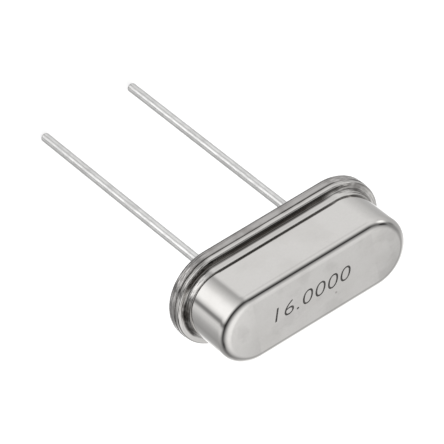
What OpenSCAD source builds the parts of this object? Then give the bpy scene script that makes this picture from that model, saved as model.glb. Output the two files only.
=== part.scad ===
// Low-profile quartz crystal unit in a welded metal can, with two wire leads.
//
// The origin is on the seating plane, midway between the leads. +Z points to the can's
// flat top, +X runs along the case, and the leads run down -Z. All sizes in millimetres.

/* [Case] */
// Length over the welded flanges
flange_l = 10.95; // [10.6:0.05:11.6]
// Width over the welded flanges
flange_w = 4.65; // [4.4:0.05:5]
// Height of the can's top above the seating plane
case_h = 3.6; // [3.4:0.1:5]

/* [Can] */
// How far the flanges stand out past the can's wall at the two ends
end_reach = 0.45; // [0.35:0.01:0.8]
// How far the flanges stand out past the can's wall along the two sides
side_reach = 0.515; // [0.4:0.005:0.7]
// Thickness of the can's sheet
can_t = 0.25; // [0.15:0.01:0.3]
// Outside radius of the drawn edge round the top
can_edge_r = 0.45; // [0.35:0.05:0.7]
// How far the upper edge of the skirt at the foot of the wall stands out from the wall
skirt_step = 0.02; // [0.01:0.01:0.1]
// How far the skirt widens from its upper edge down to the flange
skirt_flare = 0.1; // [0.02:0.01:0.12]
// Height of the skirt above the can's flange
skirt_h = 0.29; // [0.22:0.01:0.5]
// Rounding of the skirt's upper edge
skirt_edge_r = 0.1; // [0.03:0.01:0.12]
// Hollow radius between the skirt and the flange
skirt_foot_r = 0.1; // [0.05:0.01:0.15]
// How far the can's rim lies inside the base's rim
rim_inset = 0.02; // [0:0.01:0.05]
// Rounding of the upper edge of the can's rim
rim_edge_r = 0.08; // [0.04:0.01:0.12]

/* [Header base] */
// Thickness of the base's flange
base_t = 0.59; // [0.4:0.01:0.7]
// Rounding of the base's lower edge
base_edge_r = 0.29; // [0.1:0.01:0.3]
// Rounding of the two edges that meet at the weld
seam_r = 0.05; // [0.02:0.01:0.08]
// Height of the platform above the base's flange
platform_h = 0.41; // [0.3:0.01:0.6]
// Gap between the platform and the inside of the can's wall
platform_gap = 0.06; // [0.02:0.01:0.2]
// Rounding of the platform's upper edge
platform_edge_r = 0.1; // [0.05:0.01:0.2]

/* [Leads] */
// Distance between the leads' centres
lead_pitch = 4.88; // [4.6:0.02:5.1]
// Thickness of the leads' bare wire
wire_d = 0.43; // [0.35:0.01:0.6]
// Thickness of the tin coat on the wire outside the case
tin_t = 0.01; // [0.005:0.005:0.03]
// Length of the leads below the seating plane
lead_l = 13.95; // [3:0.05:20]
// Rounding of the leads' cut tips
lead_tip_r = 0.09; // [0.03:0.01:0.15]
// How far the wires stand up above the platform
wire_rise = 0.25; // [0.15:0.01:0.4]

/* [Glass seals] */
// Diameter of the glass beads that hold the leads
seal_d = 1.5; // [1.2:0.05:2]
// Depth of the dished faces of the glass beads
seal_dish = 0.05; // [0.02:0.01:0.1]

/* [Quartz blank] */
// Gap between each end of the quartz strip and the inside of the can
blank_end_gap = 0.775; // [0.6:0.025:1.2]
// Width of the quartz strip
blank_w = 1.8; // [1.5:0.05:1.9]
// Thickness of the quartz strip
blank_t = 0.1; // [0.08:0.01:0.2]
// Height of the quartz strip's underside above the platform
blank_lift = 1.1; // [0.8:0.05:1.3]
// Length of the metal film's middle field
film_l = 4.2; // [3:0.1:5]
// Width of the metal film's middle field
film_w = 1.3; // [1:0.05:1.5]
// Width of the film's tail towards its clip
film_tail_w = 0.9; // [0.5:0.05:1.1]
// Thickness of the metal film, far thicker than the real one so that it is a solid
film_t = 0.02; // [0.01:0.005:0.03]

/* [Spring clips] */
// Thickness of the clips' sheet
clip_t = 0.1; // [0.06:0.01:0.15]
// Width of the clip beside the slot, at each side of the blank
clip_cheek = 0.2; // [0.1:0.02:0.3]
// How far a clip's foot reaches inwards past the wire's centre
clip_heel = 0.5; // [0.3:0.05:0.8]
// How far the blank's end passes through its clip
clip_grip = 0.1; // [0.05:0.01:0.2]
// Height of the clip above the blank
clip_head = 0.35; // [0.2:0.01:0.5]
// Gap round the blank and its films in the clip's slot
slot_gap = 0.02; // [0.01:0.005:0.04]

/* [Adhesive] */
// Radius of the dabs of silver adhesive
dab_r = 0.42; // [0.3:0.01:0.55]
// How far the centre of a dab's ball lies beyond the blank's face, into the blank
dab_sink = 0.12; // [0.05:0.01:0.2]

/* [Hidden] */
$fn = 96;

LEFT = -1;
RIGHT = 1;
UP = 1;
DOWN = -1;
// What a cut reaches past the solid it cuts
over = 0.5;
// Most of the skirt's inner side that the bend at its foot may take up
bend_share = 0.95;

// Half lengths of the straight middle stretches, and radii of the round ends
flange_spine = (flange_l - flange_w) / 2;
flange_r = flange_w / 2;
can_l = flange_l - 2 * end_reach;
can_w = flange_w - 2 * side_reach;
can_spine = (can_l - can_w) / 2;
can_r = can_w / 2;
// The skirt's lean off the upright, its radius at its upper edge, and its sheet cut level
skirt_lean = atan(skirt_flare / skirt_h);
skirt_r = can_r + skirt_step;
skirt_cut = can_t / cos(skirt_lean);
// Heights above the seating plane
can_flange_top = base_t + can_t;
skirt_top = can_flange_top + skirt_h;
platform_top = base_t + platform_h;
wire_top = platform_top + wire_rise;
blank_z = platform_top + blank_lift;
blank_top = blank_z + blank_t;
clip_top = blank_top + clip_head;
// Radii of the bare and of the tinned wire
wire_r = wire_d / 2;
tin_r = wire_r + tin_t;
// Lengths and places along the case
wire_x = lead_pitch / 2;
blank_l = can_l - 2 * (can_t + blank_end_gap);
clip_x = blank_l / 2 - clip_grip - clip_t;
// The slot lets the blank through with a film on each of its faces
slot_h = blank_t + 2 * (film_t + slot_gap);
slot_w = blank_w + 2 * slot_gap;
clip_w = slot_w + 2 * clip_cheek;

// Sweeps a half profile, drawn with its distance from the spine along X and its height
// along Y, round a straight spine that lies along the case.
module swept(spine) {
    for (side = [LEFT, RIGHT])
        translate([side * spine, 0, 0]) rotate([0, 0, -90 * side]) rotate_extrude(angle = 180) children();
    for (side = [LEFT, RIGHT])
        mirror([0, side == LEFT ? 1 : 0, 0])
            rotate([90, 0, 90]) linear_extrude(2 * spine, center = true) children();
}

// A half profile from the spine out to r and from z0 to z1, with its two outer corners rounded.
module half_block(r, z0, z1, low_r = 0, high_r = 0) {
    translate([0, z0 + low_r]) square([r, z1 - z0 - low_r - high_r]);
    translate([0, z0]) square([r - max(low_r, high_r), z1 - z0]);
    if (low_r > 0) corner(r, z0 + low_r, low_r, max(low_r, high_r));
    if (high_r > 0) corner(r, z1 - high_r, high_r, max(low_r, high_r));
}

// A rounded corner of radius edge_r, with the fill that joins it to the block's inner part.
module corner(r, z, edge_r, depth) {
    translate([r - edge_r, z]) circle(edge_r);
    translate([r - depth - edge_r, z - edge_r]) square([depth, 2 * edge_r]);
}

// How far from a corner an arc of radius edge_r starts, where the sides meet at an angle.
function arc_reach(edge_r, angle) = edge_r / tan(angle / 2);

// The fill between the arc of radius edge_r and the corner that the skirt, or its inside,
// makes with the level at z.
module skirt_corner(r, z, edge_r) {
    reach = arc_reach(edge_r, 90 + skirt_lean);
    translate([r, z]) difference() {
        polygon([[0, 0], [reach, 0], [reach, edge_r], [-reach * sin(skirt_lean), reach * cos(skirt_lean)]]);
        translate([reach, edge_r]) circle(edge_r);
    }
}

// The half profile of the skirt, which leans out towards the flange under a rounded edge.
module skirt_block() {
    reach = arc_reach(skirt_edge_r, 90 + skirt_lean);
    polygon([[0, can_flange_top], [skirt_r + skirt_flare, can_flange_top],
             [skirt_r + reach * sin(skirt_lean), skirt_top - reach * cos(skirt_lean)],
             [skirt_r - reach, skirt_top], [0, skirt_top]]);
    translate([skirt_r - reach, skirt_top - skirt_edge_r]) circle(skirt_edge_r);
}

// The drawn can: one sheet of even thickness, with its flange turned out at the foot.
module can() {
    color("#d3d1cd") difference() {
        union() {
            swept(flange_spine) half_block(flange_r - rim_inset, base_t, can_flange_top, seam_r, rim_edge_r);
            swept(can_spine) {
                half_block(can_r, can_flange_top, case_h, 0, can_edge_r);
                skirt_block();
                skirt_corner(skirt_r + skirt_flare, can_flange_top, skirt_foot_r);
            }
        }
        swept(can_spine) can_hollow();
    }
}

// The space inside the can, down past the underside of its flange.
module can_hollow() {
    wall_in_r = can_r - can_t;
    step_z = skirt_top - can_t;
    // Inside radii of the skirt where its step starts and at the flange's underside
    step_r = skirt_r - skirt_cut + can_t * tan(skirt_lean);
    foot_r = step_r + skirt_flare;
    bend_r = min(skirt_foot_r + can_t,
                 bend_share * skirt_h / cos(skirt_lean) / arc_reach(1, 90 + skirt_lean));
    half_block(wall_in_r, base_t - over, case_h - can_t, 0, can_edge_r - can_t);
    polygon([[0, base_t - over], [foot_r, base_t - over], [foot_r, base_t], [step_r, step_z],
             [wall_in_r, step_z + step_r - wall_in_r], [0, step_z + step_r - wall_in_r]]);
    skirt_corner(foot_r, base_t, bend_r);
    translate([0, base_t - over]) square([foot_r + arc_reach(bend_r, 90 + skirt_lean), over]);
}

// The header base: a pressed plate whose platform stands up inside the can's skirt.
module header_base() {
    platform_r = can_r - can_t - platform_gap;
    color("#b9b6b2") difference() {
        union() {
            swept(flange_spine) half_block(flange_r, 0, base_t, base_edge_r, seam_r);
            swept(can_spine) half_block(platform_r, base_t - seam_r, platform_top, 0, platform_edge_r);
        }
        for (side = [LEFT, RIGHT])
            translate([side * wire_x, 0, -over]) cylinder(d = seal_d, h = platform_top + 2 * over);
    }
}

// A glass bead that fills its hole in the base round one wire, dished at both faces.
module glass_seal(side) {
    color("#3d4a48") translate([side * wire_x, 0, 0]) rotate_extrude()
        polygon([[wire_r, seal_dish], [tin_r, seal_dish], [seal_d / 2, 0],
                 [seal_d / 2, platform_top], [wire_r, platform_top - seal_dish]]);
}

// A lead: bare wire through the glass, and a tinned stretch with a rounded tip below it.
module lead(side) {
    color("#c9c9c9") translate([side * wire_x, 0, 0]) rotate_extrude() {
        half_block(tin_r, -lead_l, seal_dish, lead_tip_r);
        half_block(wire_r, -lead_l / 2, wire_top);
    }
}

// A folded spring clip: its foot is welded on the wire, and its upright holds the blank's end.
module spring_clip(side) {
    foot_x = wire_x - clip_heel;
    color("#c0b89a") mirror([side == LEFT ? 1 : 0, 0, 0]) difference() {
        union() {
            translate([foot_x, -clip_w / 2, wire_top]) cube([clip_x + clip_t - foot_x, clip_w, clip_t]);
            translate([clip_x, -clip_w / 2, wire_top]) cube([clip_t, clip_w, clip_top - wire_top]);
        }
        translate([clip_x - over, -slot_w / 2, blank_z + blank_t / 2 - slot_h / 2])
            cube([clip_t + 2 * over, slot_w, slot_h]);
    }
}

// The quartz strip that vibrates.
module quartz_blank() {
    color("#dfe9ee") translate([-blank_l / 2, -blank_w / 2, blank_z]) cube([blank_l, blank_w, blank_t]);
}

// The metal film on one face of the blank, with a tail out to the clip at one end.
module electrode(face, tail_side) {
    film_z = face == UP ? blank_top : blank_z - film_t;
    color("#e6e6e6") mirror([tail_side == LEFT ? 1 : 0, 0, 0]) union() {
        translate([-film_l / 2, -film_w / 2, film_z]) cube([film_l, film_w, film_t]);
        translate([0, -film_tail_w / 2, film_z]) cube([clip_x - slot_gap, film_tail_w, film_t]);
    }
}

// Dabs of silver adhesive that bond the blank to the inside of a clip, above and below it.
module adhesive(side) {
    color("#a9a9a6") mirror([side == LEFT ? 1 : 0, 0, 0])
        for (face = [UP, DOWN])
            dab(face, face * side == LEFT ? film_t : 0);
}

// One dab: the part of a ball that lies inside the clip's upright and past the blank's face,
// or past the film on it. The upper film's tail runs left and the lower film's runs right.
module dab(face, film) {
    face_z = face == UP ? blank_top + film : blank_z - film;
    intersection() {
        translate([clip_x, 0, face_z - face * dab_sink]) sphere(dab_r);
        translate([clip_x - dab_r, -dab_r, face_z - (face == UP ? 0 : dab_r)])
            cube([dab_r, 2 * dab_r, dab_r]);
    }
}

can();
header_base();
glass_seal(LEFT);  // glass_seal_left
glass_seal(RIGHT);  // glass_seal_right
lead(LEFT);  // lead_left
lead(RIGHT);  // lead_right
spring_clip(LEFT);  // spring_clip_left
spring_clip(RIGHT);  // spring_clip_right
quartz_blank();
electrode(UP, LEFT);  // electrode_top
electrode(DOWN, RIGHT);  // electrode_bottom
adhesive(LEFT);  // adhesive_left
adhesive(RIGHT);  // adhesive_right
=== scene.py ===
import functools
import math
import bmesh
import bpy
from mathutils import Matrix, Vector


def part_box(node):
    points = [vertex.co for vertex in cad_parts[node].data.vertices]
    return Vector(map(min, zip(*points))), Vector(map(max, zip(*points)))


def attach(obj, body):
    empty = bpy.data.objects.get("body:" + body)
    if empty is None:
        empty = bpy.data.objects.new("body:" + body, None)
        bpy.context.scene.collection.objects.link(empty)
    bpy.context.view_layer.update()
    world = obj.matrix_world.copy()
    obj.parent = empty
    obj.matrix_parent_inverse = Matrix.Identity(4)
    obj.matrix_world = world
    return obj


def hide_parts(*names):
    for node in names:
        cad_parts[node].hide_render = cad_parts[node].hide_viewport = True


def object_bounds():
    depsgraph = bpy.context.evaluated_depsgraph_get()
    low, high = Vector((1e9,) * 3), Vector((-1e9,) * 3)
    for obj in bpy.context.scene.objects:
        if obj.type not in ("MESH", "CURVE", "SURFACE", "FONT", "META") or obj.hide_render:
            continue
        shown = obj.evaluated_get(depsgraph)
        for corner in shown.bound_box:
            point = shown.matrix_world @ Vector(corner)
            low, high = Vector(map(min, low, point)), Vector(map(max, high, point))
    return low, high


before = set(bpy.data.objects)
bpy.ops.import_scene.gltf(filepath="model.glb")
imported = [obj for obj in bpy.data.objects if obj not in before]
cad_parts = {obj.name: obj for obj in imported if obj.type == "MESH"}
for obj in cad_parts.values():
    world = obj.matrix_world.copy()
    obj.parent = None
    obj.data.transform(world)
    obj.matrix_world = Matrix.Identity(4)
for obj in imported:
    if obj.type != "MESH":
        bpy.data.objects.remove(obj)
cad_low, cad_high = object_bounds()
scene = bpy.context.scene

# All sizes are in millimetres unless a line says otherwise; a finished mesh is brought to metres
MM = 0.001
MERGE = 0.0002
ARC_STEPS = 10
TURN_STEPS = 96
SHARP_ANGLE = math.radians(50)


def corners_of(node):
    """Lowest and highest corner of a CAD node, in millimetres."""
    low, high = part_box(node)
    return low / MM, high / MM


base_high = corners_of("header_base")[1]
can_low, can_high = corners_of("can")
seal_low, seal_high = corners_of("glass_seal_right")
lead_low, lead_high = corners_of("lead_right")

# The case is an oval: each outline lies some way out from a spine of this half length
CAN_SPINE = 3.215
# The header base, with its flange and the platform inside the can
FLANGE_R = base_high.y
FLANGE_SPINE = base_high.x - FLANGE_R
BASE_T = can_low.z
BASE_EDGE_R = 0.29
UNDERSIDE_R = FLANGE_R - 2 * BASE_EDGE_R
# The can's sheet: its wall and top, the skirt at the foot of the wall, and the rim
CAN_TOP = can_high.z
CAN_T = 0.25
CAN_R = 1.81
CAN_EDGE_R = 0.45
SKIRT_R = 1.83
SKIRT_FLARE = 0.1
SKIRT_H = 0.29
SKIRT_TOP = BASE_T + CAN_T + SKIRT_H
SKIRT_EDGE_R = 0.1
SKIRT_FOOT_R = 0.1
BEND_R = 0.35
RIM_R = can_high.y
RIM_EDGE_R = 0.08
SEAM_R = 0.05
PLATFORM_GAP = 0.06
PLATFORM_R = CAN_R - CAN_T - PLATFORM_GAP
PLATFORM_TOP = base_high.z
PLATFORM_EDGE_R = 0.1
# The leads in their glass
WIRE_X = (lead_low.x + lead_high.x) / 2
TIN_T = 0.01
TIN_R = (lead_high.x - lead_low.x) / 2
WIRE_R = TIN_R - TIN_T
WIRE_TOP = lead_high.z
LEAD_END = lead_low.z
LEAD_TIP_R = 0.09
SEAL_R = (seal_high.x - seal_low.x) / 2
SEAL_DISH = 0.05
# The marking stands MARK_T above the can's top and goes MARK_SINK into it
MARK_TEXT = "16.0000"
MARK_LENGTH = 4.2
MARK_HEIGHT = 0.7
MARK_PLACE = (-0.2, 0.1)
MARK_T = 0.003
MARK_SINK = 0.002
MARK_FONT_SIZE = 1.3
MARK_THINNING = -0.016
MARK_SLANT = 0.26
MARK_SPACING = 1.05
MARK_CURVE_STEPS = 6
# The light table lies just under the lead tips
TABLE_DROP = 0.05
TABLE_HALF = 2000.0


def chain(bm, corners):
    """A chain of edges through corners of (distance out, height, radius)."""
    verts = [bm.verts.new((out, 0, height)) for out, height, radius in corners]
    for start, end in zip(verts, verts[1:]):
        bm.edges.new((start, end))
    places = [vert.co.copy() for vert in verts]
    for i, (out, height, radius) in enumerate(corners):
        if radius:
            bend = (places[i] - places[i - 1]).angle(places[i + 1] - places[i])
            bmesh.ops.bevel(bm, geom=[verts[i]], offset=radius * math.tan(bend / 2),
                            offset_type="OFFSET", segments=ARC_STEPS, profile=0.5,
                            affect="VERTICES", clamp_overlap=False, material=-1)


def sweep_oval(bm, spine):
    """Carries the chain round an oval: half turns at both ends and straight runs between."""
    bmesh.ops.rotate(bm, verts=bm.verts, cent=(0, 0, 0), matrix=Matrix.Rotation(math.pi / 2, 3, "Z"))
    bmesh.ops.translate(bm, verts=bm.verts, vec=(spine, 0, 0))
    section = bm.verts[:] + bm.edges[:]
    for end in (spine, -spine):
        turned = bmesh.ops.spin(bm, geom=section, cent=(end, 0, 0), axis=(0, 0, 1),
                                angle=-math.pi, steps=TURN_STEPS)
        edges = [part for part in turned["geom_last"] if isinstance(part, bmesh.types.BMEdge)]
        drawn = bmesh.ops.extrude_edge_only(bm, edges=edges)["geom"]
        verts = {part for part in drawn if isinstance(part, bmesh.types.BMVert)}
        bmesh.ops.translate(bm, verts=list(verts), vec=(-2 * end, 0, 0))
        section = list(verts) + [part for part in drawn if isinstance(part, bmesh.types.BMEdge)
                                 and set(part.verts) <= verts]


def fit_to_flange(bm, beyond):
    """Moves what lies further out than that onto the flange's shorter spine."""
    for side in (1, -1):
        rim = [v for v in bm.verts if v.co.x * side > 0
               and math.hypot(max(abs(v.co.x) - CAN_SPINE, 0), v.co.y) > beyond]
        bmesh.ops.translate(bm, verts=rim, vec=(side * (FLANGE_SPINE - CAN_SPINE), 0, 0))


def turn(bm, x):
    """Spins the chain into a round piece whose axis stands at x."""
    bmesh.ops.translate(bm, verts=bm.verts, vec=(x, 0, 0))
    bmesh.ops.spin(bm, geom=bm.verts[:] + bm.edges[:], cent=(x, 0, 0), axis=(0, 0, 1),
                   angle=2 * math.pi, steps=TURN_STEPS, use_merge=True)


def piece_from(bm, name, material, slot, *stands_for):
    """Ends a bmesh as a piece of the object."""
    bmesh.ops.remove_doubles(bm, verts=bm.verts, dist=MERGE)
    bmesh.ops.recalc_face_normals(bm, faces=bm.faces)
    bmesh.ops.scale(bm, verts=bm.verts, vec=(MM, MM, MM))
    mesh = bpy.data.meshes.new(name)
    bm.to_mesh(mesh)
    bm.free()
    mesh.shade_smooth()
    mesh.set_sharp_from_angle(angle=SHARP_ANGLE)
    mesh.materials.append(material)
    piece = bpy.data.objects.new(name, mesh)
    scene.collection.objects.link(piece)
    facing = piece.modifiers.new("facing", "WEIGHTED_NORMAL")
    facing.keep_sharp = True
    facing.weight = 100
    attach(piece, "root")
    if stands_for:
        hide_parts(*stands_for)


class Graph:
    """Places nodes in a tree and links them up."""

    def __init__(self, tree):
        self.tree = tree

    def node(self, kind, settings=None, **inputs):
        """A node of that kind; an input goes by its name, or by its number after an underline."""
        made = self.tree.nodes.new(kind)
        for name, value in (settings or {}).items():
            setattr(made, name, value)
        for name, value in inputs.items():
            self.feed(made, name, value)
        return made

    def feed(self, node, name, value):
        """Links an input to another node's output, or sets it to a plain value."""
        socket = node.inputs[int(name[1:])] if name[0] == "_" else node.inputs[name.replace("_", " ")]
        if isinstance(value, bpy.types.NodeSocket):
            self.tree.links.new(value, socket)
        else:
            socket.default_value = value

    def place(self):
        """The point of the piece that is being coloured, in metres."""
        return self.node("ShaderNodeTexCoord").outputs["Object"]

    def parts(self, vector):
        """The x, y and z of a vector."""
        return self.node("ShaderNodeSeparateXYZ", None, Vector=vector).outputs

    def math(self, operation, *values):
        """One step of arithmetic."""
        made = self.node("ShaderNodeMath", {"operation": operation})
        for i, value in enumerate(values):
            self.feed(made, "_%d" % i, value)
        return made.outputs[0]

    def product(self, *values):
        """All the values multiplied together."""
        return functools.reduce(functools.partial(self.math, "MULTIPLY"), values)

    def vector(self, operation, *values):
        """One step of arithmetic with vectors."""
        made = self.node("ShaderNodeVectorMath", {"operation": operation})
        for i, value in enumerate(values):
            self.feed(made, "_%d" % i, value)
        return made.outputs["Value" if operation == "DOT_PRODUCT" else "Vector"]

    def smooth(self, value, start, end, low=0.0, high=1.0):
        """Goes smoothly from low to high while the value goes from start to end."""
        made = self.node("ShaderNodeMapRange", {"interpolation_type": "SMOOTHSTEP"}, Value=value,
                         From_Min=start, From_Max=end, To_Min=low, To_Max=high)
        return made.outputs[0]

    def fade(self, length, start, end, low=0.0, high=1.0):
        """The same for a length on the piece, with the start and the end in millimetres."""
        return self.smooth(length, start * MM, end * MM, low, high)

    def cloud(self, place, scale, detail=2.0):
        """Soft noise from 0 to 1, of that many clouds to the metre."""
        made = self.node("ShaderNodeTexNoise", None, Vector=place, Scale=scale, Detail=detail)
        return made.outputs["Fac"]

    def cells(self, place, scale):
        """Cells, that many to the metre: the Distance from the middle of each, and each one's Color."""
        return self.node("ShaderNodeTexVoronoi", None, Vector=place, Scale=scale).outputs

    def red(self, colour):
        """The red part of a colour, as a number."""
        return self.node("ShaderNodeSeparateColor", None, Color=colour).outputs[0]

    def mix(self, share, first, second, blend="MIX"):
        """The first colour with its share of the second over it."""
        made = self.node("ShaderNodeMix", {"data_type": "RGBA", "blend_type": blend},
                         _0=share, _6=first, _7=second)
        return made.outputs[2]

    def blend(self, share, first, second):
        """The first number with its share of the second."""
        made = self.node("ShaderNodeMix", {"data_type": "FLOAT"}, _0=share, _2=first, _3=second)
        return made.outputs[0]

    def bump(self, height, distance, normal=None):
        """The normal of a surface raised by the height times the distance, in metres."""
        under = {} if normal is None else {"Normal": normal}
        made = self.node("ShaderNodeBump", None, Height=height, Distance=distance, **under)
        return made.outputs["Normal"]

    def ramp(self, value, stops):
        """A grey that follows the stops, which are pairs of a position and a level."""
        made = self.node("ShaderNodeValToRGB", None, Fac=value)
        bar = made.color_ramp
        bar.interpolation = "LINEAR"
        while len(bar.elements) > 1:
            bar.elements.remove(bar.elements[-1])
        bar.elements[0].position = stops[0][0]
        bar.elements[0].color = (*[stops[0][1]] * 3, 1)
        for position, level in stops[1:]:
            stop = bar.elements.new(position)
            stop.color = (level, level, level, 1)
        return made.outputs["Color"]


SOCKET_KINDS = {"Colour": "Color", "Dull Colour": "Color", "Normal": "Vector", "Grain": "Vector"}


def shared_effect(name, given, gives):
    """An empty node group with its named inputs and outputs, and the graph to fill it with."""
    tree = bpy.data.node_groups.new(name, "ShaderNodeTree")
    sockets = [(label, "INPUT") for label in given] + [(label, "OUTPUT") for label in gives]
    for label, way in sockets:
        kind = "NodeSocket" + SOCKET_KINDS.get(label, "Float")
        socket = tree.interface.new_socket(label, in_out=way, socket_type=kind)
        if way == "INPUT":
            socket.default_value = given[label]
    g = Graph(tree)
    return g, g.node("NodeGroupInput").outputs, g.node("NodeGroupOutput")


def round_oval(g, place, spine):
    """Where a point lies: its x, y and height, how far past the straight runs, and out from the spine."""
    x, y, height = g.parts(place)
    past = g.math("MAXIMUM", g.math("SUBTRACT", g.math("ABSOLUTE", x), spine), 0.0)
    out = g.math("SQRT", g.math("ADD", g.product(past, past), g.product(y, y)))
    return {"x": x, "y": y, "height": height, "past": past, "out": out}


PIT_FLOOR = (0.08, 0.07, 0.06, 1)
# How many times finer the sheet's grain, pits and ripple are than its clouds
GRAIN_FINENESS = 16.0
PIT_FINENESS = 1.4
RIPPLE_FINENESS = 1.3


def build_plated_sheet():
    """Pressed and plated sheet: cloudy dulling, fine grain, a few pits and a slight ripple."""
    usual = {"Colour": (0.64, 0.63, 0.6, 1), "Dull Colour": (0.5, 0.48, 0.45, 1), "Dulling": 0.5,
             "Roughness": 0.13, "Cloud Scale": 800.0, "Ripple": 3e-6, "Pits": 1.0}
    g, given, made = shared_effect("plated_sheet", usual, ("Colour", "Roughness", "Normal"))
    place = g.place()
    scale = given["Cloud Scale"]
    dull = g.product(g.smooth(g.cloud(place, scale, 4.0), 0.42, 0.72), given["Dulling"])
    colour = g.mix(dull, given["Colour"], given["Dull Colour"])
    grain = g.cloud(place, g.product(scale, GRAIN_FINENESS), 3.0)
    tone = g.smooth(grain, 0.2, 0.8, 0.98, 1.012)
    shade = g.node("ShaderNodeCombineColor", None, _0=tone, _1=tone, _2=tone).outputs[0]
    colour = g.mix(1.0, colour, shade, "MULTIPLY")
    # Few of the cells hold a pit, at their middle
    cells = g.cells(place, g.product(scale, PIT_FINENESS))
    chance = g.smooth(g.red(cells["Color"]), 0.86, 0.88)
    pit = g.product(g.smooth(cells["Distance"], 0.09, 0.03), chance, given["Pits"])
    colour = g.mix(g.product(pit, 0.5), colour, PIT_FLOOR)
    rough = g.math("ADD", given["Roughness"], g.product(dull, 0.05))
    rough = g.math("ADD", rough, g.product(g.smooth(grain, 0.3, 0.8), 0.02))
    ripple = g.cloud(place, g.product(scale, RIPPLE_FINENESS), 1.0)
    g.feed(made, "Colour", colour)
    g.feed(made, "Roughness", rough)
    g.feed(made, "Normal", g.bump(ripple, given["Ripple"]))
    return g.tree


def build_drawn_grain():
    """Drawn or rolled metal: fine lines laid along the piece, with dull and bright stretches."""
    usual = {"Colour": (0.7, 0.7, 0.7, 1), "Dull Colour": (0.5, 0.5, 0.5, 1), "Dulling": 0.6,
             "Roughness": 0.2, "Grain": (20000.0, 20000.0, 1500.0), "Lines": 1e-6}
    g, given, made = shared_effect("drawn_grain", usual, ("Colour", "Roughness", "Normal"))
    place = g.place()
    lines = g.cloud(g.vector("MULTIPLY", place, given["Grain"]), 1.0, 3.0)
    patches = g.cloud(g.vector("MULTIPLY", place, (1500.0, 1500.0, 1500.0)), 1.0, 3.0)
    worn = g.smooth(g.math("ADD", lines, g.product(patches, 0.6)), 0.62, 1.05)
    dull = g.product(worn, given["Dulling"])
    g.feed(made, "Colour", g.mix(dull, given["Colour"], given["Dull Colour"]))
    g.feed(made, "Roughness", g.math("ADD", given["Roughness"], g.product(dull, 0.15)))
    g.feed(made, "Normal", g.bump(lines, given["Lines"]))
    return g.tree


# The places, out from the middle of the gap, between which the line fades
SEAM_GAP_EDGE = (0.8, 0.4)


def build_seam_soot():
    """The dark line that welding leaves at a height: patchy, and faint where it has a gap."""
    usual = {"Height": 0.59 * MM, "Spread": 0.04 * MM, "Strength": 0.6, "Gap Place": 0.15 * MM,
             "Gap": 0.7}
    g, given, made = shared_effect("seam_soot", usual, ("Mask",))
    place = g.place()
    x, y, height = g.parts(place)
    apart = g.math("ABSOLUTE", g.math("SUBTRACT", height, given["Height"]))
    near = g.math("SUBTRACT", 1.0, g.math("DIVIDE", apart, given["Spread"]))
    near = g.math("MAXIMUM", near, 0.0)
    patchy = g.smooth(g.cloud(place, 700.0), 0.35, 0.6, 0.25, 1.0)
    from_gap = g.math("ABSOLUTE", g.math("SUBTRACT", x, given["Gap Place"]))
    left = g.math("SUBTRACT", 1.0, g.product(g.fade(from_gap, *SEAM_GAP_EDGE), given["Gap"]))
    g.feed(made, "Mask", g.product(near, patchy, left, given["Strength"]))
    return g.tree


# The ripples of a rim are drawn out along it: a turn of the end counts as a run of this radius, a
# straight run is drawn out further, and across the rim they are this many times finer
RIPPLE_TURN_R = 2.2
RIPPLE_STRAIGHT = 0.3
RIPPLE_ACROSS = 9.0
# They come in towards the ends of the rim, away from the middle where the two halves of the pattern
# meet, and outward from the inner radius, each between two places
RIPPLE_TO_END = (-0.2, 0.8)
RIPPLE_FROM_MIDDLE = (0.0, 0.6)
RIPPLE_FROM_INNER = (0.0, 0.15)


def build_rim_ripple():
    """Ripples that run along the rim of an oval, faint on its long sides and strong at its ends, with
    painted dark streaks and painted glints that stand for their reflections.
    """
    usual = {"Spine": 3.15 * MM, "Inner Radius": 2.0 * MM, "Long Sides": 0.2, "Ends": 1.0}
    g, given, made = shared_effect("rim_ripple", usual, ("Height", "Streaks", "Glints"))
    at = round_oval(g, g.place(), given["Spine"])
    side = g.math("SIGN", at["x"])
    from_middle = g.math("ABSOLUTE", at["x"])
    turned = g.product(g.math("ARCTAN2", at["past"], at["y"]), RIPPLE_TURN_R * MM)
    along = g.math("ADD", turned, g.product(from_middle, RIPPLE_STRAIGHT))
    run = g.node("ShaderNodeCombineXYZ", None, X=g.product(along, side),
                 Y=g.product(at["out"], RIPPLE_ACROSS),
                 Z=g.product(at["height"], RIPPLE_ACROSS)).outputs[0]
    beyond = g.math("SUBTRACT", at["out"], given["Inner Radius"])
    strength = g.product(g.fade(at["past"], *RIPPLE_TO_END, given["Long Sides"], given["Ends"]),
                         g.fade(from_middle, *RIPPLE_FROM_MIDDLE), g.fade(beyond, *RIPPLE_FROM_INNER))
    ripple = g.math("SUBTRACT", g.cloud(run, 1000.0), 0.5)
    # Painted light: dark streaks and bright glints that stand for the ripples' reflections
    painted_streaks = g.smooth(g.cloud(run, 1900.0, 3.0), 0.45, 0.7)
    painted_glints = g.smooth(g.cloud(run, 2600.0), 0.5, 0.62)
    g.feed(made, "Height", g.product(ripple, strength))
    g.feed(made, "Streaks", g.product(painted_streaks, strength))
    g.feed(made, "Glints", g.product(painted_glints, g.product(strength, strength)))
    return g.tree


PLATED_SHEET = build_plated_sheet()
DRAWN_GRAIN = build_drawn_grain()
SEAM_SOOT = build_seam_soot()
RIM_RIPPLE = build_rim_ripple()


def new_material(name, **plain):
    """A material, the graph of its nodes and its shader, with its plain values set."""
    material = bpy.data.materials.new(name)
    material.use_nodes = True
    shader = material.node_tree.nodes["Principled BSDF"]
    g = Graph(material.node_tree)
    for socket, value in plain.items():
        g.feed(shader, socket, value)
    return material, g, shader


def effect(g, tree, **inputs):
    """Places a shared effect with its own values and gives its outputs."""
    return g.node("ShaderNodeGroup", {"node_tree": tree}, **inputs).outputs


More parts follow.
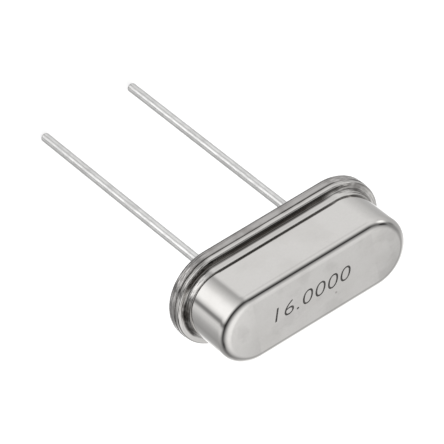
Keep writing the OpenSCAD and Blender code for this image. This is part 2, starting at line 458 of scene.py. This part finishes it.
def cover(g, shader, colour, rough, normal):
    """Gives the shader what changes over the surface."""
    g.feed(shader, "Base_Color", colour)
    g.feed(shader, "Roughness", rough)
    g.feed(shader, "Normal", normal)


# A dark brown: the soot of the weld and of stains, and also painted shade in the hollow and painted dark
# reflections on the rim
SOOT_AND_PAINTED_SHADE = (0.05, 0.042, 0.036, 1)
# The painted shade in the hollow round the skirt: for each patch, the places between which it comes in
PAINTED_SHADE_LONG_SIDE = {"x": (3.5, 2.6), "y": (1.1, 1.6), "height": (0.95, 0.9), "out": (2.3, 2.2)}
PAINTED_SHADE_LEFT_END = {"x": (-4.7, -4.95), "out": (2.05, 1.97), "height": (1.16, 1.1)}
PAINTED_SHADE_RIGHT_END = {"x": (3.2, 3.7), "y": (0.8, 1.3), "out": (2.26, 2.18), "height": (0.95, 0.9)}
# Along the long side it is thickest between these, just outside the skirt's foot
PAINTED_SHADE_THICKENS = (1.94, 2.03)
PAINTED_SHADE_THINS = (2.08, 2.16)
# The dark lines of the weld: the height of each, how far it spreads and how dark it is
CAN_LINES = ((BASE_T, 0.06, 0.55), (BASE_T, 0.17, 0.6))
BASE_LINES = ((BASE_T, 0.07, 0.6), (0.31, 0.09, 0.2))


def patch(g, at, edges):
    """A mask that is whole where the point lies past every pair of edges."""
    return g.product(*[g.fade(at[name], start, end) for name, (start, end) in edges.items()])


def hollow_painted_shade(g):
    """Painted shade in the hollow: along one long side, and at the skirt's two ends."""
    place = g.place()
    at = round_oval(g, place, CAN_SPINE * MM)
    thick = g.smooth(g.cloud(place, 700.0), 0.35, 0.6, 0.68, 0.78)
    thick = g.math("ADD", thick, g.fade(at["out"], *PAINTED_SHADE_THICKENS, 0.0, 0.2))
    thick = g.math("SUBTRACT", thick, g.fade(at["out"], *PAINTED_SHADE_THINS, 0.0, 0.33))
    long_side = g.product(patch(g, at, PAINTED_SHADE_LONG_SIDE), thick)
    patchy = g.smooth(g.cloud(place, 1500.0), 0.38, 0.62)
    left_end = g.product(patch(g, at, PAINTED_SHADE_LEFT_END), g.math("ADD", g.product(patchy, 0.35), 0.6))
    right_end = g.product(patch(g, at, PAINTED_SHADE_RIGHT_END), g.math("ADD", g.product(patchy, 0.4), 0.3))
    return g.math("MAXIMUM", long_side, g.math("MAXIMUM", left_end, right_end))


def weld_lines(g, colour, lines):
    """The colour with the weld's dark lines over it."""
    for height, spread, strength in lines:
        mask = effect(g, SEAM_SOOT, Height=height * MM, Spread=spread * MM, Strength=strength)["Mask"]
        colour = g.mix(mask, colour, SOOT_AND_PAINTED_SHADE)
    return colour


# The can's finish changes with height: down to its skirt, from the flange's top to its upright
# edge, and up to the flat top. Its painted dark streaks are stronger on the side where the hollow
# has its painted shade.
TO_SKIRT = (1.15, 1.0)
TO_RIM_EDGE = (0.8, 0.76)
TO_FLAT_TOP = (3.4, 3.55)
TO_PAINTED_SHADE_SIDE = (-0.8, 0.5)


def make_can_metal():
    """Bright nickel plate on the drawn can, with painted shade in the hollow above its flange."""
    material, g, shader = new_material("nickel_plated_can", Metallic=1.0)
    place = g.place()
    y, height = g.parts(place)[1:]
    at_skirt = g.fade(height, *TO_SKIRT)
    colour, rough, normal = effect(
        g, PLATED_SHEET, Colour=(0.645, 0.632, 0.616, 1), Dull_Colour=(0.595, 0.58, 0.562, 1),
        Dulling=0.7, Roughness=0.04, Cloud_Scale=650.0, Pits=1.0,
        Ripple=g.math("ADD", 2e-6, g.product(at_skirt, 8e-6)))
    colour = weld_lines(g, colour, CAN_LINES)
    # Painted shade in the hollow round the skirt
    colour = g.mix(hollow_painted_shade(g), colour, SOOT_AND_PAINTED_SHADE)
    # A faint stain in clouds over the flat top
    stain = g.product(g.smooth(g.cloud(place, 900.0, 4.0), 0.52, 0.68), g.fade(height, *TO_FLAT_TOP))
    colour = g.mix(g.product(stain, 0.08), colour, SOOT_AND_PAINTED_SHADE)
    # Painted dark streaks round the rim's ends: reflections of its ripples put into the colour
    rim = effect(g, RIM_RIPPLE, Spine=CAN_SPINE * MM, Inner_Radius=1.5 * MM,
                 Long_Sides=g.product(at_skirt, 0.12),
                 Ends=g.product(at_skirt, g.fade(y, *TO_PAINTED_SHADE_SIDE, 0.3, 1.0)))
    painted_streaks = g.product(rim["Streaks"], g.fade(height, *TO_RIM_EDGE, 0.05, 0.5))
    cover(g, shader, g.mix(painted_streaks, colour, SOOT_AND_PAINTED_SHADE), rough, g.bump(rim["Height"], 4e-5, normal))
    return material


def make_base_metal():
    """Duller plate on the header base, with a sooty line where the can is welded on and painted dark
    streaks and glints round its rim's ends.
    """
    material, g, shader = new_material("nickel_plated_base", Metallic=1.0)
    colour, rough, normal = effect(
        g, PLATED_SHEET, Colour=(0.455, 0.442, 0.433, 1), Dull_Colour=(0.3, 0.284, 0.274, 1), Dulling=0.9,
        Roughness=0.14, Cloud_Scale=900.0, Ripple=1.4e-5, Pits=1.0)
    rim = effect(g, RIM_RIPPLE, Spine=FLANGE_SPINE * MM, Inner_Radius=(FLANGE_R - BASE_EDGE_R) * MM,
                 Long_Sides=0.3, Ends=1.0)
    # Painted dark streaks and painted glints: reflections of the ripples round the rim's ends
    colour = g.mix(g.product(rim["Streaks"], 0.6), colour, (0.13, 0.122, 0.115, 1))
    colour = g.mix(g.product(rim["Glints"], 0.55), colour, (0.78, 0.765, 0.75, 1))
    cover(g, shader, weld_lines(g, colour, BASE_LINES), rough, g.bump(rim["Height"], 5e-5, normal))
    return material


def make_wire_metal():
    """Satin tin on the leads, with fine lines along them."""
    material, g, shader = new_material("tinned_wire", Metallic=1.0)
    cover(g, shader, *effect(
        g, DRAWN_GRAIN, Colour=(0.82, 0.817, 0.81, 1), Dull_Colour=(0.64, 0.637, 0.63, 1), Dulling=0.7,
        Roughness=0.22, Grain=(14000.0, 14000.0, 2500.0), Lines=1.2e-6))
    return material


def make_clip_metal():
    """Rolled nickel silver of the spring clips, with its lines along the case."""
    material, g, shader = new_material("rolled_nickel_silver", Metallic=1.0)
    cover(g, shader, *effect(
        g, DRAWN_GRAIN, Colour=(0.56, 0.52, 0.42, 1), Dull_Colour=(0.42, 0.38, 0.29, 1), Dulling=0.7,
        Roughness=0.25, Grain=(1500.0, 20000.0, 20000.0), Lines=1e-6))
    return material


def make_silver_film():
    """Evaporated silver on the blank, slightly clouded where it has begun to tarnish."""
    material, g, shader = new_material("evaporated_silver", Metallic=1.0)
    cover(g, shader, *effect(
        g, PLATED_SHEET, Colour=(0.86, 0.84, 0.8, 1), Dull_Colour=(0.7, 0.63, 0.5, 1), Dulling=0.4,
        Roughness=0.06, Cloud_Scale=1200.0, Ripple=3e-7, Pits=0.3))
    return material


def make_seal_glass():
    """Dark sealing glass with fine bubbles and greenish swirls."""
    material, g, shader = new_material("sealing_glass", IOR=1.5)
    place = g.place()
    swirl = g.smooth(g.cloud(place, 1400.0, 4.0), 0.35, 0.7)
    colour = g.mix(swirl, (0.012, 0.017, 0.016, 1), (0.035, 0.05, 0.045, 1))
    bubble = g.smooth(g.cells(place, 7000.0)["Distance"], 0.28, 0.12)
    colour = g.mix(g.product(bubble, 0.35), colour, (0.11, 0.14, 0.13, 1))
    rough = g.math("ADD", 0.07, g.product(bubble, 0.15))
    skin = g.math("SUBTRACT", g.cloud(place, 2200.0), g.product(bubble, 0.4))
    cover(g, shader, colour, rough, g.bump(skin, 3e-6))
    return material


def make_quartz():
    """Clear quartz, lapped to a faint frost that is finer in some places."""
    material, g, shader = new_material("lapped_quartz", Transmission_Weight=0.9, IOR=1.54)
    place = g.place()
    frost = g.cloud(place, 9000.0, 4.0)
    wash = g.smooth(g.cloud(place, 500.0), 0.3, 0.7)
    colour = g.mix(wash, (0.93, 0.96, 0.97, 1), (0.88, 0.92, 0.94, 1))
    cover(g, shader, colour, g.smooth(frost, 0.3, 0.75, 0.08, 0.3), g.bump(frost, 3e-7))
    return material


def make_adhesive():
    """Silver-filled epoxy: dull grey, with bright flakes and a lumpy skin."""
    material, g, shader = new_material("silver_epoxy")
    place = g.place()
    flake = g.smooth(g.red(g.cells(place, 24000.0)["Color"]), 0.7, 0.9)
    lumps = g.cloud(place, 6000.0, 4.0)
    colour = g.mix(g.smooth(lumps, 0.3, 0.7), (0.3, 0.3, 0.29, 1), (0.42, 0.42, 0.4, 1))
    colour = g.mix(flake, colour, (0.68, 0.67, 0.64, 1))
    cover(g, shader, colour, g.smooth(lumps, 0.2, 0.8, 0.62, 0.42), g.bump(lumps, 6e-6))
    g.feed(shader, "Metallic", g.product(flake, 0.8))
    return material


def make_burnt_marking():
    """The marking: the plate's own metal burnt dark, a little unevenly."""
    material, g, shader = new_material("burnt_marking", Metallic=0.3)
    burn = g.cloud(g.place(), 9000.0, 3.0)
    colour = g.mix(g.smooth(burn, 0.3, 0.75), (0.045, 0.042, 0.04, 1), (0.14, 0.133, 0.128, 1))
    cover(g, shader, colour, g.smooth(burn, 0.3, 0.8, 0.5, 0.75), g.bump(burn, 2e-6))
    return material


def make_drawn_can(material):
    """The can: one sheet, from the middle of its top down to its rim and back up inside."""
    top = CAN_TOP - MARK_T
    in_top = top - CAN_T
    in_r = CAN_R - CAN_T
    flange_top = BASE_T + CAN_T
    lean = math.atan2(SKIRT_FLARE, SKIRT_H)
    step_r = SKIRT_R - CAN_T / math.cos(lean) + CAN_T * math.tan(lean)
    step_z = SKIRT_TOP - CAN_T
    foot_r = SKIRT_R + SKIRT_FLARE
    bm = bmesh.new()
    chain(bm, [(0, top, 0), (CAN_R, top, CAN_EDGE_R), (CAN_R, SKIRT_TOP, 0),
               (SKIRT_R, SKIRT_TOP, SKIRT_EDGE_R), (foot_r, flange_top, SKIRT_FOOT_R),
               (RIM_R, flange_top, RIM_EDGE_R), (RIM_R, BASE_T, SEAM_R),
               (step_r + SKIRT_FLARE, BASE_T, BEND_R), (step_r, step_z, 0),
               (in_r, step_z + step_r - in_r, 0), (in_r, in_top, CAN_EDGE_R - CAN_T), (0, in_top, 0)])
    sweep_oval(bm, CAN_SPINE)
    fit_to_flange(bm, (foot_r + RIM_R) / 2)
    piece_from(bm, "drawn_can", material, "can_metal", "can")


def make_header_plate(material):
    """The header base: its rim and platform, closed round the two glass holes."""
    bm = bmesh.new()
    chain(bm, [(UNDERSIDE_R, 0, 0), (FLANGE_R, 0, BASE_EDGE_R), (FLANGE_R, BASE_T, SEAM_R),
               (PLATFORM_R, BASE_T, 0), (PLATFORM_R, PLATFORM_TOP, PLATFORM_EDGE_R),
               (PLATFORM_R - 2 * PLATFORM_EDGE_R, PLATFORM_TOP, 0)])
    sweep_oval(bm, CAN_SPINE)
    fit_to_flange(bm, (PLATFORM_R + UNDERSIDE_R) / 2)
    bmesh.ops.remove_doubles(bm, verts=bm.verts, dist=MERGE)
    holes = []
    for height in (0, PLATFORM_TOP):
        border = [e for e in bm.edges if e.is_boundary and abs(e.verts[0].co.z - height) < MERGE]
        for x in (-WIRE_X, WIRE_X):
            ring = bmesh.ops.create_circle(bm, cap_ends=False, radius=SEAL_R, segments=TURN_STEPS,
                                           matrix=Matrix.Translation((x, 0, height)))["verts"]
            edges = list({e for v in ring for e in v.link_edges})
            holes.append(edges)
            border += edges
        bmesh.ops.triangle_fill(bm, edges=border, use_beauty=True, use_dissolve=False)
    for low, high in zip(holes[:2], holes[2:]):
        bmesh.ops.bridge_loops(bm, edges=low + high)
    piece_from(bm, "header_plate", material, "base_metal", "header_base")


def make_glass_bead(side, name, material):
    """A glass bead round its wire, dished at both ends."""
    bm = bmesh.new()
    chain(bm, [(WIRE_R, SEAL_DISH, 0), (TIN_R, SEAL_DISH, 0), (SEAL_R, 0, 0), (SEAL_R, PLATFORM_TOP, 0),
               (WIRE_R, PLATFORM_TOP - SEAL_DISH, 0), (WIRE_R, SEAL_DISH, 0)])
    turn(bm, side * WIRE_X)
    piece_from(bm, "glass_bead_" + name, material, "seal_glass", "glass_seal_" + name)


def make_wire_lead(side, name, material):
    """A lead: bare wire through its bead, and tinned from there to its rounded tip."""
    bm = bmesh.new()
    chain(bm, [(0, WIRE_TOP, 0), (WIRE_R, WIRE_TOP, 0), (WIRE_R, SEAL_DISH, 0), (TIN_R, SEAL_DISH, 0),
               (TIN_R, LEAD_END, LEAD_TIP_R), (0, LEAD_END, 0)])
    turn(bm, side * WIRE_X)
    piece_from(bm, "wire_lead_" + name, material, "tinned_wire", "lead_" + name)


def make_plain_marking(material):
    """A plain number on the can's flat top, thin and slightly raised."""
    letters = bpy.data.curves.new("plain_number", "FONT")
    letters.body = MARK_TEXT
    letters.align_x = "CENTER"
    letters.align_y = "CENTER"
    letters.size = MARK_FONT_SIZE
    letters.shear = MARK_SLANT
    letters.offset = MARK_THINNING
    letters.space_character = MARK_SPACING
    letters.resolution_u = MARK_CURVE_STEPS
    # Half of a thickness of 1, which the scaling below brings to the real one
    letters.extrude = 0.5
    drawn = bpy.data.objects.new("plain_number", letters)
    scene.collection.objects.link(drawn)
    bpy.context.view_layer.update()
    flat = bpy.data.meshes.new_from_object(drawn.evaluated_get(bpy.context.evaluated_depsgraph_get()))
    bpy.data.objects.remove(drawn)
    bm = bmesh.new()
    bm.from_mesh(flat)
    across = [[v.co[axis] for v in bm.verts] for axis in (0, 1)]
    middle = [(min(c) + max(c)) / 2 for c in across]
    wide, high = [max(c) - min(c) for c in across]
    bmesh.ops.translate(bm, verts=bm.verts, vec=(-middle[0], -middle[1], letters.extrude))
    bmesh.ops.scale(bm, verts=bm.verts, vec=(MARK_LENGTH / wide, MARK_HEIGHT / high, MARK_T + MARK_SINK))
    bmesh.ops.translate(bm, verts=bm.verts, vec=(*MARK_PLACE, CAN_TOP - MARK_T - MARK_SINK))
    piece_from(bm, "plain_marking", material, "can_metal")


def finish_nodes(material, *nodes):
    """Gives CAD nodes that keep their shapes their finish."""
    for node in nodes:
        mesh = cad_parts[node].data
        mesh.materials.clear()
        mesh.materials.append(material)


make_drawn_can(make_can_metal())
make_header_plate(make_base_metal())
wire_metal = make_wire_metal()
seal_glass = make_seal_glass()
for side, name in ((-1, "left"), (1, "right")):
    make_glass_bead(side, name, seal_glass)
    make_wire_lead(side, name, wire_metal)
make_plain_marking(make_burnt_marking())
finish_nodes(make_clip_metal(), "spring_clip_left", "spring_clip_right")
finish_nodes(make_quartz(), "quartz_blank")
finish_nodes(make_silver_film(), "electrode_top", "electrode_bottom")
finish_nodes(make_adhesive(), "adhesive_left", "adhesive_right")


def make_light_table():
    """The table that the part stands over: lit from within, and clear from below."""
    bm = bmesh.new()
    bmesh.ops.create_grid(bm, x_segments=1, y_segments=1, size=TABLE_HALF * MM)
    bmesh.ops.translate(bm, verts=bm.verts, vec=(0, 0, cad_low.z - TABLE_DROP * MM))
    mesh = bpy.data.meshes.new("light_table")
    bm.to_mesh(mesh)
    bm.free()
    table = bpy.data.objects.new("light_table", mesh)
    scene.collection.objects.link(table)
    table.visible_glossy = False
    table_top, g, shader = new_material("lit_table_top", Base_Color=(0.85, 0.85, 0.85, 1),
                                        Emission_Color=(1, 1, 1, 1), Emission_Strength=0.6)
    seen_from_below = g.node("ShaderNodeNewGeometry").outputs["Backfacing"]
    clear = g.node("ShaderNodeBsdfTransparent").outputs[0]
    surface = g.node("ShaderNodeMixShader", None, _0=seen_from_below, _1=shader.outputs[0], _2=clear)
    g.feed(table_top.node_tree.nodes["Material Output"], "Surface", surface.outputs[0])
    mesh.materials.append(table_top)


def heading(azimuth, elevation):
    """The unit vector in that direction."""
    across, up = math.radians(azimuth), math.radians(elevation)
    return Vector((math.cos(up) * math.cos(across), math.cos(up) * math.sin(across), math.sin(up)))


# The studio round the part: a soft dome overhead, a dark gap round it, and a lit ring below. Its
# levels are those seen in the can's plate, which gives back this share of the light.
PLATE_SHARE = 0.62
DOME_AXIS = heading(-93.6, 69.0)
DOME_LEVEL = 0.79
DOME_EDGE = (8.0, 72.7)
RING_AXIS = heading(-128.5, 75.2)
RING_EDGE = (53.5, 90.0)
# The ring's level at each angle round the part, in degrees
RING = [(-180, .59), (-170, .54), (-160, .41), (-150, .34), (-130, .27), (-105, .35), (-80, .8),
        (-50, .8), (-30, .4), (-15, .38), (0, .39), (10, .43), (20, .483), (30, .515), (40, .563),
        (55, .62), (75, .62), (80, .53), (85, .37), (90, .365), (100, .49), (110, .64), (120, .82),
        (130, .887), (145, .885), (150, .81), (155, .68), (160, .44), (165, .185), (170, .22),
        (175, .456), (180, .59)]
# Each soft patch: its axis, the angles between which it fades, and what it adds
PATCHES = [(heading(25, 20), 3, 17, 0.5), (heading(7, 40), 4, 14, -0.14),
           (heading(-60, 41), 5, 25, 0.02), (heading(-4, 18), 3, 14, -0.12),
           (heading(-46, 58), 3, 13, -0.07), (heading(68, -7), 3, 14, -0.07),
           (heading(53.5, 52), 1, 9.5, -0.09), (heading(-136, 22), 3, 14, -0.08),
           (heading(-89, -4.5), 3, 11, -0.13)]
# Straight below it is dim, and where the camera looks past the part it is plain white
BELOW_LEVEL = 0.15
BELOW_EDGE = (-44.0, -68.0)
BACKDROP_LEVEL = 1.05


def light_studio():
    """The world round the part, which is all the light there is apart from the table's."""
    world = bpy.data.worlds.new("studio")
    scene.world = world
    world.use_nodes = True
    g = Graph(world.node_tree)
    toward = g.vector("NORMALIZE", g.node("ShaderNodeTexCoord").outputs["Generated"])
    x, y, z = g.parts(toward)

    def away_from(axis):
        """The angle between the direction looked in and an axis, in degrees."""
        return g.math("DEGREES", g.math("ARCCOSINE", g.vector("DOT_PRODUCT", toward, axis)))

    share_round = g.math("ADD", g.math("DIVIDE", g.math("ARCTAN2", y, x), 2 * math.pi), 0.5)
    ring = g.ramp(share_round, [((angle + 180) / 360, level) for angle, level in RING])
    level = g.product(ring, g.smooth(away_from(RING_AXIS), *RING_EDGE))
    level = g.math("ADD", level, g.smooth(away_from(DOME_AXIS), *DOME_EDGE, DOME_LEVEL, 0.0))
    for axis, inner, outer, added in PATCHES:
        level = g.math("ADD", level, g.smooth(away_from(axis), inner, outer, added, 0.0))
    elevation = g.math("DEGREES", g.math("ARCSINE", z))
    level = g.blend(g.smooth(elevation, *BELOW_EDGE), level, BELOW_LEVEL)
    level = g.math("DIVIDE", g.math("MAXIMUM", level, 0.0), PLATE_SHARE)
    looked_at = g.node("ShaderNodeLightPath").outputs["Is Camera Ray"]
    background = world.node_tree.nodes["Background"]
    background.inputs["Color"].default_value = (1, 1, 1, 1)
    g.feed(background, "Strength", g.blend(looked_at, level, BACKDROP_LEVEL))


# The camera: its place, and its three directions as unit vectors
CAMERA_LENS = 386.0
CAMERA_PLACE = Vector((-77.61, 136.26, 137.49))
CAMERA_RIGHT = Vector((0.799, -0.1478, 0.5829))
CAMERA_DOWN = Vector((-0.4758, -0.7481, 0.4626))
CAMERA_AHEAD = Vector((0.3677, -0.6469, -0.668))
# The nearest and the furthest that it sees, in metres
CAMERA_REACH = (0.01, 10)


def place_camera():
    """The camera, high over one long side and far off, with a long lens."""
    camera_data = bpy.data.cameras.new("camera")
    camera_data.lens = CAMERA_LENS
    camera_data.clip_start, camera_data.clip_end = CAMERA_REACH
    camera = bpy.data.objects.new("camera", camera_data)
    scene.collection.objects.link(camera)
    scene.camera = camera
    turned = Matrix((CAMERA_RIGHT, -CAMERA_DOWN, -CAMERA_AHEAD)).transposed().to_4x4()
    camera.matrix_world = Matrix.Translation(CAMERA_PLACE * MM) @ turned


make_light_table()
light_studio()
place_camera()
scene.view_settings.view_transform = "Standard"
